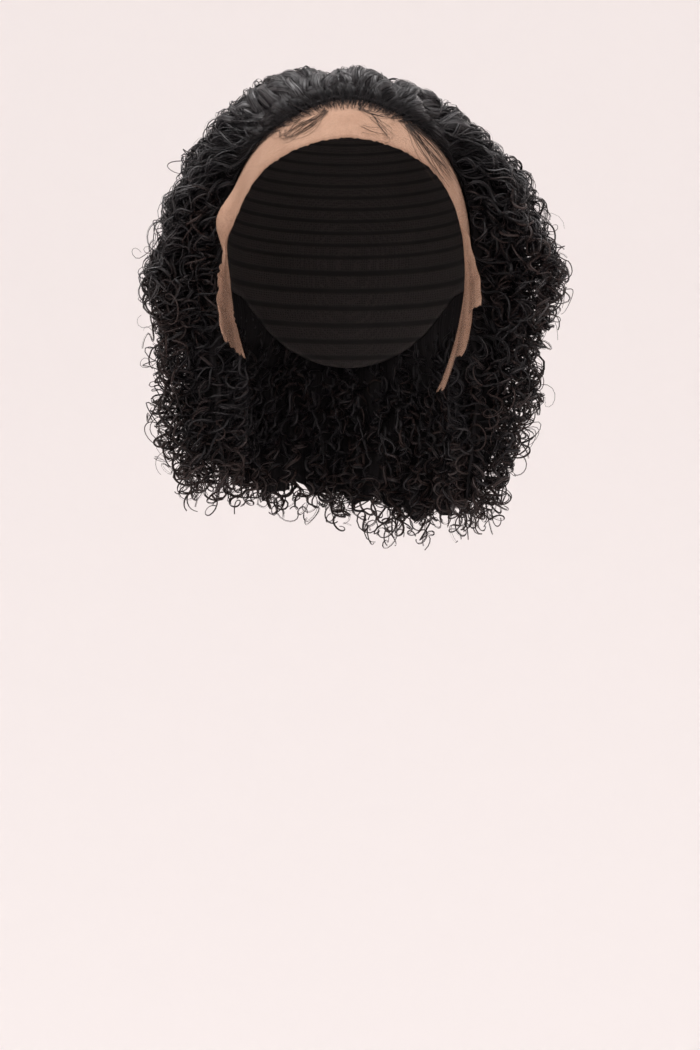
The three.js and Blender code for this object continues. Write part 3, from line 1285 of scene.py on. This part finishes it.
@dataclass
class HairPart:
    """One part of the hair: the close dark mass next to the cap, and the locks that grow over it."""

    name: str
    form: HairForm
    azimuths: Span
    locks: tuple[tuple[RootBand, Lock], ...]
    seed: int
    mass_share: float = 0.6
    columns: int = 44
    rows: int = 36
    pole: float = 0.004
    rim_gap: float = 1.5
    roll_over: float = 14.0
    rough_height: float = 1.4 * MM
    rough_length: float = 9 * MM
    rough_waves: int = 9
    thinnest: float = 0.4 * MM

    def mass_grid(self) -> tuple[Array, Array]:
        """Lay out the mass by azimuth and way.

        Returns:
            Azimuths and ways, by column and row.
        """
        azimuth = np.mod(np.linspace(*self.azimuths, self.columns), 360)[:, None]
        share = np.linspace(0, 1, self.rows)[None, :]
        rim = np.minimum(self.form.hairline.at(from_face(azimuth)), self.form.top_polar) - self.rim_gap
        return azimuth + 0 * share, self.pole + share * (rim / 90 - self.pole)

    def walls(self, azimuth: Array, way: Array, room: Array, rough: Array) -> tuple[Array, Array]:
        """Find how far the mass's two faces stand from the cap.

        Args:
            azimuth: Azimuths by column and row.
            way: Ways by column and row.
            room: Distance from the cap to the outline.
            rough: Small swells.

        Returns:
            Distance of the inner and the outer face.
        """
        behind = self.form.hairline.at(from_face(azimuth)) - way * 90
        high = (room * self.mass_share + rough) * smooth_step(behind, 0, self.roll_over)
        return 0 * room, np.maximum(high, self.thinnest)

    def mass(self, material: Material) -> None:
        """Make the close dark mass that fills the part below its locks.

        Args:
            material: Its finish.
        """
        azimuth, way = self.mass_grid()
        inner = self.form.inner(azimuth, way)
        outer = self.form.outer(azimuth, way)
        room = np.linalg.norm(outer - inner, axis=-1)
        out = (outer - inner) / room[..., None]
        rough = Lumps(self.rough_length, self.rough_waves, self.seed).at(outer) * self.rough_height
        low, high = self.walls(azimuth, way, room, rough)
        marks = {"tone": 0 * way, "tip": 0.1 * way, "lane": azimuth * 0.8}
        piece = shell_object(
            self.name + "_mass", inner + out * low[..., None], inner + out * high[..., None], marks)
        dress(piece, material, self.name)

    def grow(self, material: Material) -> None:
        """Grow the part's locks, as one or two pieces for each kind.

        Args:
            material: Their finish.
        """
        comb = Comb(self.form, self.seed)
        made = []
        for number, (band, lock) in enumerate(self.locks, start=1):
            roots = band.scatter(self.form, comb.rng, lock.count)
            hairs, bodies = comb.grow(roots, lock)
            made.append(hairs.build(f"{self.name}_locks_{number}"))
            if bodies is not None:
                made.append(bodies.build(f"{self.name}_bodies_{number}"))
        for piece in made:
            dress(piece, material)


@dataclass
class HangingHair(HairPart):
    """A part of the hair that hangs from the top to the ends."""

    ends: float = 1.9
    ragged: Span = (0.016, 0.005)
    front_margin: float = 3.0
    side_limit: float = 140.0
    top_gap: float = 0.6
    inner_share: float = 0.3
    inner_over: Span = (1.25, 1.5)
    narrow_by: float = 0.75
    narrow_over: float = 0.22
    front_share: float = 0.15
    front_over: float = 12.0

    def mass_grid(self) -> tuple[Array, Array]:
        """Lay out the mass by azimuth and way, behind the front edge.

        Returns:
            Azimuths and ways, by column and row.
        """
        share = np.linspace(0, 1, self.rows)[None, :]
        spread = np.linspace(0, 1, self.columns)[:, None]
        top = (self.form.top_polar + self.top_gap) / 90
        ragged = Waves(((self.ragged[0], 19, self.seed), (self.ragged[1], 43, 0)))
        way = top + share * (self.ends + ragged.at(spread) - top)
        limit = self.form.front.at(way) + self.front_margin
        edges = []
        for azimuth in self.azimuths:
            face = from_face(azimuth)
            if face < self.side_limit:
                face = np.maximum(face, limit)
            edges.append(360 - face if azimuth > 180 else face)
        first, last = edges
        return first + (last - first) * spread + 0 * way, way

    def walls(self, azimuth: Array, way: Array, room: Array, rough: Array) -> tuple[Array, Array]:
        """Find how far the mass's two faces stand from the cap.

        Args:
            azimuth: Azimuths by column and row.
            way: Ways by column and row.
            room: Distance from the cap to the outline.
            rough: Small swells.

        Returns:
            Distance of the inner and the outer face.
        """
        low = room * self.inner_share * smooth_step(way, *self.inner_over)
        narrow = 1 - self.narrow_by * smooth_step(way, self.ends - self.narrow_over, self.ends)
        ahead = from_face(azimuth) - self.form.front.at(way) - self.front_margin
        blunt = self.front_share + (1 - self.front_share) * smooth_step(ahead, 0, self.front_over)
        high = low + (room * self.mass_share - low) * narrow * blunt + rough * narrow
        return low, np.maximum(high, low + self.thinnest)


@dataclass
class Hairline:
    """Fine single hairs along the hairline, thinning out over the lace and combed back into the locks."""

    form: HairForm
    count: int = 1400
    segments: int = 12
    span: Span = (-79, 79)
    jitter: float = 0.5
    length: Span = mm(14, 30)
    width: Span = mm(0.17, 0.32)
    ahead: Table = Table((0, 35, 60, 79), (10, 8, 5, 3.5))
    behind: float = 3.0
    thinning: float = 1.7
    lift: Span = mm(2, 11)
    clear: float = 0.75 * MM
    sway: float = 1.5 * MM

    def build(self, material: Material) -> None:
        """Make the hairs and dress them.

        Args:
            material: Their finish.
        """
        comb = Comb(self.form, SEED + 9)
        rng = comb.rng
        azimuth = np.linspace(*self.span, self.count) + rng.normal(0, self.jitter, self.count)
        face = from_face(azimuth)
        reach = self.ahead.at(face) + self.behind
        ahead = reach * rng.uniform(0, 1, self.count) ** self.thinning - self.behind
        roots = self.form.head.point(np.mod(azimuth, 360), self.form.hairline.at(face) + ahead, 0.0)
        path = comb.trace(roots, rng.uniform(*self.length, self.count), 1.0)
        path = path[:, np.linspace(0, comb.steps, self.segments + 1).astype(int)]
        share = np.linspace(0, 1, self.segments + 1)[None, :]
        normal = self.form.head.normal(path)
        height = self.clear + comb.draw(self.lift, self.count) * share**1.4
        aside = np.cross(normal, tangents(path))
        bend = rng.normal(0, self.sway, (self.count, 1)) * share**2
        lines = path + normal * height[..., None] + aside * bend[..., None]
        widths = comb.draw(self.width, self.count) / 2 * (1 - 0.6 * share**2)
        tones = rng.uniform(0, 1, self.count)
        piece = Strands(lines, widths, tones, Section.RIBBON, normal).build("hairline")
        dress(piece, material)


@dataclass(frozen=True)
class Wisp:
    """A loose wisp laid on the lace: where it starts, seen from the front, and how it runs and bends.

    Places and lengths are in millimetres. The heading is in degrees from the wearer's left, downward, and
    the hook is a last turn at the tip.
    """

    x: float
    z: float
    heading: float
    length: float
    bend: float
    hook: float
    hairs: int


@dataclass
class BabyHairs:
    """The loose wisps in front of the hairline, laid on the lace."""

    head: HeadForm
    wisps: tuple[Wisp, ...]
    segments: int = 26
    width: Span = mm(0.2, 0.36)
    clear: float = 1.0 * MM
    layer: float = 0.5 * MM
    hook_from: float = 0.72
    heading_jitter: float = 7
    sway: float = 9
    place_jitter: float = 1.1 * MM
    lengths: Span = (0.8, 1.1)

    def build(self, material: Material) -> None:
        """Make the wisps and dress them.

        Args:
            material: Their finish.
        """
        rng = np.random.default_rng(SEED + 10)
        hairs = [(w.x, w.z, w.heading, w.length, w.bend, w.hook) for w in self.wisps for _ in range(w.hairs)]
        each = (len(hairs), 1)
        x, z, heading, length, bend, hook = np.array(hairs, float).T[..., None]
        share = np.linspace(0, 1, self.segments + 1)[None, :]
        heading = heading + rng.normal(0, self.heading_jitter, each) + bend * share
        heading = heading + hook * smooth_step(share, self.hook_from, 1)
        heading = np.radians(heading + rng.normal(0, self.sway, each) * np.sin(share * TURN))
        step = length * MM * rng.uniform(*self.lengths, each) / self.segments
        x = x * MM + rng.normal(0, self.place_jitter, each) + np.cumsum(step * np.cos(heading), 1)
        z = z * MM + rng.normal(0, self.place_jitter, each) - np.cumsum(step * np.sin(heading), 1)
        left = 1 - (x / self.head.half_width) ** 2 - ((z + self.head.crown) / self.head.crown) ** 2
        y = -self.head.half_depth * np.sqrt(np.maximum(left, 0.0))
        lines = np.stack([x, y, z], axis=-1)
        clear = self.clear + self.layer * rng.uniform(0, 1, (*each, 1))
        lines = lines + self.head.normal(lines) * clear
        widths = rng.uniform(*self.width, each) / 2 * (1 - 0.4 * share)
        piece = Strands(lines, widths, rng.uniform(0, 1, len(hairs)), Section.TUBE).build("baby_hairs")
        dress(piece, material)


@dataclass(frozen=True)
class Lamp:
    """A soft lamp with a broad face, that points at the wig."""

    name: str
    place: Triple
    size: Span
    power: float
    colour: Triple
    target: Triple = (0.0, 0.0, -0.12)

    def hang(self) -> None:
        """Hang the lamp."""
        data = bpy.data.lights.new(self.name, "AREA")
        data.shape = "RECTANGLE"
        data.size = self.size[0]
        data.size_y = self.size[1]
        data.energy = self.power
        data.color = self.colour
        lamp = bpy.data.objects.new(self.name, data)
        lamp.location = self.place
        lamp.rotation_mode = "QUATERNION"
        lamp.rotation_quaternion = (Vector(self.target) - Vector(self.place)).to_track_quat("-Z", "Y")
        bpy.context.scene.collection.objects.link(lamp)


@dataclass
class Studio:
    """The plain pale floor and wall, the soft light and the camera."""

    floor: float = -2.2
    radius: float = 5.0
    sweep: float = 2.6
    height: float = 7.0
    rings: Triple = (0.0, 0.8, 1.6)
    bends: int = 16
    sides: int = 96
    tone: Triple = (0.80, 0.77, 0.765)
    glow: float = 0.06
    surround: Triple = (1.0, 0.965, 0.955)
    surround_strength: float = 1.33
    distance: float = 1.5
    aside: float = 1.3 * MM
    eye: float = -0.27
    sensor: float = 36.0
    pixel: float = 0.63 * MM
    frame_pixels: int = 1050
    lamps: tuple[Lamp, ...] = (
        Lamp("overhead", (-0.12, -0.35, 1.9), (1.6, 1.2), 44, (1.0, 0.98, 0.98)),
        Lamp("front", (-1.2, -2.2, 0.7), (1.4, 1.4), 14, (1.0, 0.97, 0.95)),
        Lamp("rear", (1.4, 2.0, 0.9), (1.2, 1.4), 10, (1.0, 0.97, 0.95)),
    )

    def backdrop(self) -> None:
        """Make the floor that sweeps up into a wall all round."""
        bend = np.linspace(0, math.pi / 2, self.bends)
        curve = self.radius - self.sweep + self.sweep * np.sin(bend)
        reach = np.concatenate([self.rings, curve, [self.radius]])
        rise = np.concatenate([np.zeros(len(self.rings)), self.sweep * (1 - np.cos(bend)), [self.height]])
        turn = np.linspace(0, TURN, self.sides + 1)[:, None]
        points = np.stack([reach * np.cos(turn), reach * np.sin(turn), rise + self.floor + 0 * turn], axis=-1)
        piece = grid_object("backdrop", points, grid_quads(*points.shape[:2])[:, [0, 3, 2, 1]])
        nodes = Nodes("backdrop_paint")
        nodes.feed(nodes.shader, {
            "Base Color": self.tone,
            "Roughness": 0.9,
            "Specular IOR Level": 0.1,
            "Emission Color": self.tone,
            "Emission Strength": self.glow,
        })
        piece.data.materials.append(nodes.material)

    def light(self) -> None:
        """Light the studio: a pale surround, a broad lamp overhead and softer ones in front and behind."""
        scene = bpy.context.scene
        scene.world = bpy.data.worlds.new("surround")
        scene.world.use_nodes = True
        shade = scene.world.node_tree.nodes["Background"]
        shade.inputs["Color"].default_value = (*self.surround, 1)
        shade.inputs["Strength"].default_value = self.surround_strength
        for lamp in self.lamps:
            lamp.hang()
        scene.view_settings.view_transform = "Standard"

    def camera(self) -> None:
        """Set the camera level, straight on, at the photograph's framing."""
        data = bpy.data.cameras.new("camera")
        data.sensor_width = self.sensor
        data.lens = self.sensor * self.distance / (self.frame_pixels * self.pixel)
        camera = bpy.data.objects.new("camera", data)
        camera.location = (self.aside, -self.distance, self.eye)
        camera.rotation_euler = (math.pi / 2, 0, 0)
        bpy.context.scene.collection.objects.link(camera)
        bpy.context.scene.camera = camera


def hair_parts(form: HairForm) -> tuple[HairPart, ...]:
    """List the parts of the hair, with the kinds of lock that each grows.

    Args:
        form: The room that the hair fills.

    Returns:
        The parts.
    """
    curls = Lock()
    roll = Lock(count=62, hairs=19, segments=36, length=mm(55, 90), depth=(0.86, 0.98), coil=mm(2.6, 4.2),
                pitch=mm(20, 28), bundle=mm(3.8, 5.6), width=mm(0.4, 0.75), rise=8 * MM, loose=1.1,
                curl_from=0.3, wander=3 * MM, flick=2.5 * MM, ends=(1.86, 2.02), body_sides=8, tip_curl=0.0,
                tilt=(0.0, 0.0), thin_from=0.35, thin_by=0.8)
    temple = Lock(count=62, segments=76, length=mm(70, 110), depth=(0.9, 1.05), coil=mm(3.0, 4.6),
                  pitch=mm(12, 17), bundle=mm(1.0, 1.8), width=mm(0.45, 0.85), rise=10 * MM, loose=1.3,
                  curl_from=0.3, wander=5 * MM, flick=2.5 * MM, ends=(1.86, 2.02), tilt=(10.0, 70.0))
    crown = Lock(count=154, segments=84, length=mm(60, 100), depth=(0.86, 1.06), coil=mm(3.2, 4.8),
                 pitch=mm(9, 13), width=mm(0.5, 1.0), loose=1.3, wander=6 * MM, flick=2.5 * MM,
                 ends=(1.86, 2.02))
    edge = Lock(count=72, segments=90, length=mm(60, 90), depth=(0.2, 1.0), coil=mm(3.2, 5.0), sweep=0.15,
                wander=6 * MM, flick=2.5 * MM)
    strays = Lock(count=36, hairs=1, segments=60, length=mm(45, 70), depth=(1.02, 1.12), coil=mm(3.8, 6.0),
                  pitch=mm(10, 14), bundle=mm(0.2, 0.4), width=mm(0.45, 0.8), loose=2.0, flick=5 * MM,
                  ends=(1.86, 2.02), section=Section.TUBE)
    lining = Lock(count=190, hairs=3, segments=84, length=mm(60, 90), depth=(0.05, 0.75), coil=mm(3.0, 4.6),
                  bundle=mm(0.6, 1.2), width=mm(0.8, 1.4), wander=6 * MM, flick=2.5 * MM, ends=(1.9, 2.02))
    return (
        HairPart("hair_top", form, (0, 360), (
            (RootBand((-56, 56), (18, 50), (0, 8)), roll),
            (RootBand((50, 78), (34, 62), (0, 12)), temple),
            (RootBand((282, 310), (34, 62), (0, 12)), temple),
            (RootBand((0, 360), (0, 50), (6, 180)), crown),
        ), SEED + 1),
        HangingHair("hair_side_left", form, (66, 150), (
            (RootBand((70, 150), (45, 146)), curls),
            (RootBand((62, 94), (45, 146), (0, 14)), edge),
            (RootBand((70, 150), (40, 130)), strays),
        ), SEED + 2),
        HangingHair("hair_side_right", form, (210, 294), (
            (RootBand((210, 290), (45, 146)), curls),
            (RootBand((266, 298), (45, 146), (0, 14)), edge),
            (RootBand((210, 290), (40, 130)), strays),
        ), SEED + 3),
        HangingHair("hair_back", form, (150.6, 209.4), (
            (RootBand((145, 215), (38, 146)), curls),
            (RootBand((86, 274), (98, 153)), lining),
            (RootBand((145, 215), (38, 130)), strays),
        ), SEED + 4, ends=1.86),
    )


def wisps() -> tuple[Wisp, ...]:
    """List the loose wisps, from the middle to the wearer's left and then to the right."""
    return (
        Wisp(6.5, -18, 33, 24, -45, 0, 9),
        Wisp(14, -23.5, 56, 20, -18, 110, 6),
        Wisp(28, -22, 70, 6, 60, 40, 3),
        Wisp(8, -31, 25, 18, -40, 0, 2),
        Wisp(9, -34, 10, 9, -12, 0, 1),
        Wisp(34.5, -25, 56, 44, -8, 0, 22),
        Wisp(35.5, -26.5, 36, 39, 24, 0, 18),
        Wisp(-11.5, -18.5, 123, 39, 45, 130, 13),
        Wisp(-18, -27, 178, 16, -40, 0, 7),
        Wisp(-27, -25, 153, 15, -50, 0, 7),
        Wisp(-19, -29, 130, 12, 18, 0, 5),
    )


def main() -> None:
    """Build the wig piece by piece on the frame, light it and set the camera."""
    logging.basicConfig(level=logging.INFO, format="%(name)s %(message)s")
    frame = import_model()
    LOG.info("frame of %d nodes", len(frame["nodes"]))
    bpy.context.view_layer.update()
    studio = Studio()
    studio.camera()
    studio.backdrop()
    studio.light()

    net = NetFinish().make("tan_net")
    cap_net = CapFinish().make("weft_net")
    hair = HairFinish().make("black_hair")
    # Lit copy of the black hair for the top: lighter colour as painted sheen where the overhead light falls,
    # with painted shade at the roots
    sheen = HairFinish(
        root=(0.0160, 0.0147, 0.0162), tip=(0.029, 0.0240, 0.0245), roughness=(0.2, 0.45),
        specular=(0.05, 1.0), streak=0.9 * MM, root_shade_share=0.25).make("lit_top_hair")
    deep = HairFinish(
        root=(0.010, 0.0090, 0.0095), tip=(0.014, 0.0115, 0.0110), roughness=(0.85, 0.95),
        specular=(0.03, 0.07)).make("deep_hair")
    under = HairFinish(
        root=(0.0105, 0.0096, 0.0104), tip=(0.016, 0.0135, 0.0135), roughness=(0.3, 0.6),
        specular=(0.02, 0.6), streak=1.2 * MM).make("under_hair")
    fine = HairFinish(
        root=(0.030, 0.022, 0.019), tip=(0.060, 0.043, 0.035), roughness=(0.5, 0.7),
        specular=(0.05, 0.2)).make("fine_hair")
    loose_net = NetFinish(
        thread=(0.44, 0.28, 0.20), shade=(0.36, 0.215, 0.148), closed=0.66, open=0.3).make("loose_net")

    lace = LaceFront()
    lace.build(net)
    EarTab(Side.RIGHT, lace, pleats=1.0, pleat_depth=1.5 * MM, hem=Table((0, 0.5, 1), (-150, -157, -166)),
           flat=(34 * MM, 62 * MM), ruffle=3.2 * MM).build(loose_net)
    EarTab(Side.LEFT, lace, pleats=2.5, pleat_depth=2.6 * MM,
           hem=Table((0, 0.3, 0.36, 0.62, 0.68, 1), (-134, -138, -160, -165, -182, -187)),
           flat=(34 * MM, 68 * MM)).build(loose_net)
    CapCrown().build(cap_net)

    form = HairForm()
    for part in hair_parts(form):
        on_top = part.name == "hair_top"
        part.mass(under if on_top else deep)
        part.grow(sheen if on_top else hair)
    Hairline(form).build(deep)
    BabyHairs(form.head, wisps()).build(fine)

    total = sum(2 * len(piece.data.polygons) for piece in bpy.data.objects if piece.type == "MESH")
    LOG.info("about %d triangles in all", total)


if __name__ == "__main__":
    main()
